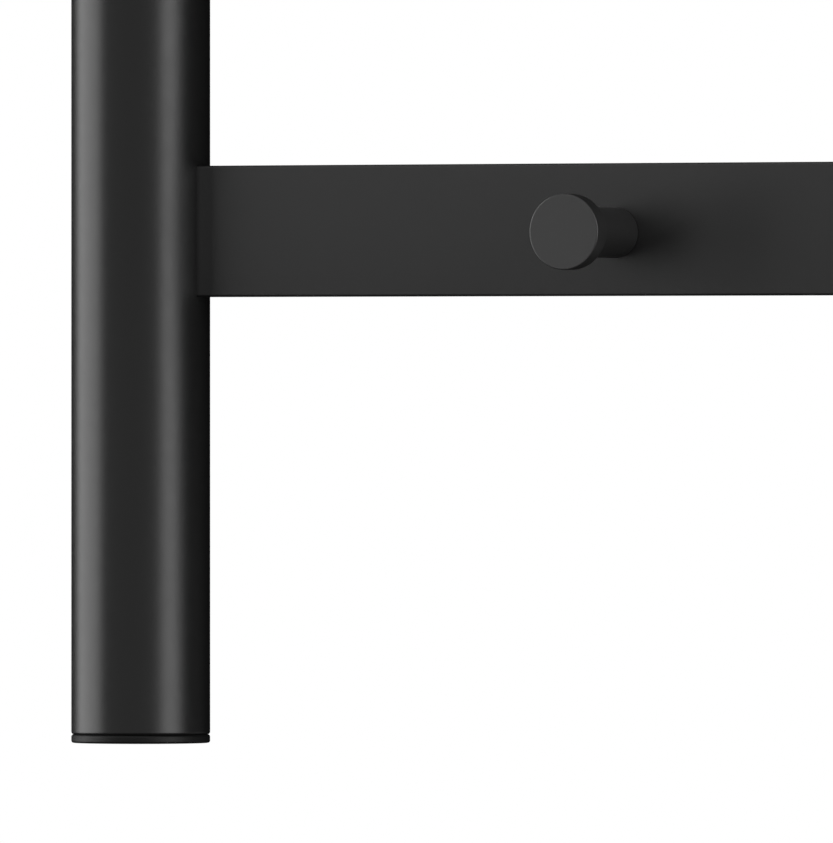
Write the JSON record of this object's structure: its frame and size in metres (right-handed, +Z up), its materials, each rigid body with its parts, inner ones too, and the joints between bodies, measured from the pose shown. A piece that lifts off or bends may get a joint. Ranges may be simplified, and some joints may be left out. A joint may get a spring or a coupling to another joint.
{
  "type": "towel warmer rack",
  "caption": "Wall-hung electric towel warmer rack: round uprights, flat crossbars with round pegs, adjustable wall brackets and a thermostat head.",
  "frame": {"origin": "centre of the four wall-screw holes, on the wall plane", "axes": "+X to the right of someone facing the rack, -Y into the room, +Y into the wall, +Z up"},
  "size_m": [0.53, 0.1155, 1.192],
  "materials": {
    "matt_black_coat": "fine-textured matt black powder coat on steel",
    "zinc_steel": "bright zinc plated steel",
    "nickel_brass": "nickel-plated brass",
    "seal_rubber": "moulded black rubber",
    "element_steel": "drawn stainless steel",
    "lead_insulation": "silicone-insulated wire",
    "head_plastic": "fine-textured moulded black plastic",
    "mark_white": "moulded white plastic",
    "clear_plastic": "clear polycarbonate",
    "board_green": "solder-masked glass-fibre board",
    "component_plastic": "moulded component plastic"
  },
  "bodies": {
    "wall_mounts": {"wall_sockets": "zinc_steel", "grub_screws": "zinc_steel", "rosettes": "matt_black_coat"},
    "frame": {"bleed_valve": "nickel_brass", "bracket_bosses": "matt_black_coat", "bracket_rods": "matt_black_coat", "bracket_studs": "zinc_steel", "button_switch": "component_plastic", "cap_lower_left": "matt_black_coat", "cap_upper_left": "matt_black_coat", "cap_upper_right": "matt_black_coat", "circuit_board": "board_green", "cord_gland": "head_plastic", "crossbar_1": "matt_black_coat", "crossbar_2": "matt_black_coat", "crossbar_3": "matt_black_coat", "crossbar_4": "matt_black_coat", "crossbar_5": "matt_black_coat", "crossbar_6": "matt_black_coat", "dial_encoder": "component_plastic", "element_bush": "matt_black_coat", "element_fitting": "nickel_brass", "element_leads": "lead_insulation", "element_seal": "seal_rubber", "filler_plug": "nickel_brass", "gland_nut": "nickel_brass", "head_collar": "head_plastic", "head_housing": "head_plastic", "head_screws": "zinc_steel", "heater": "element_steel", "left_upright": "matt_black_coat", "peg_studs": "zinc_steel", "pegs_row_1": "matt_black_coat", "pegs_row_2": "matt_black_coat", "pegs_row_3": "matt_black_coat", "pegs_row_4": "matt_black_coat", "pegs_row_5": "matt_black_coat", "pegs_row_6": "matt_black_coat", "port_bosses": "matt_black_coat", "port_seals": "seal_rubber", "power_relay": "component_plastic", "right_upright": "matt_black_coat", "sensor_sleeve": "element_steel", "status_led": "clear_plastic", "status_window": "clear_plastic", "terminal_block": "component_plastic"},
    "thermostat_dial": {"thermostat_dial": "head_plastic", "dial_pointer": "mark_white", "dial_shaft": "zinc_steel"},
    "power_button": {"power_button": "head_plastic"},
    "bleed_screw": {"bleed_screw": "nickel_brass"}
  },
  "joints": [
    {"name": "wall_distance", "type": "slide", "parent": "wall_mounts", "child": "frame", "axis": [0, -1, 0], "range_m": [-0.006, 0.01]},
    {"name": "thermostat_turn", "type": "hinge", "parent": "frame", "child": "thermostat_dial", "pos_m": [0.2438, -0.076, -0.589], "axis": [0, 0, 1], "range_deg": [-135, 135]},
    {"name": "button_press", "type": "slide", "parent": "frame", "child": "power_button", "axis": [0, 1, 0], "range_m": [0, 0.0012], "stiffness_N_per_m": 600, "springref_m": -0.002},
    {"name": "bleed_turn", "type": "hinge", "parent": "frame", "child": "bleed_screw", "pos_m": [-0.2438, -0.0468, 0.556], "axis": [0, 1, 0], "range_deg": [0, 360]}
  ]
}
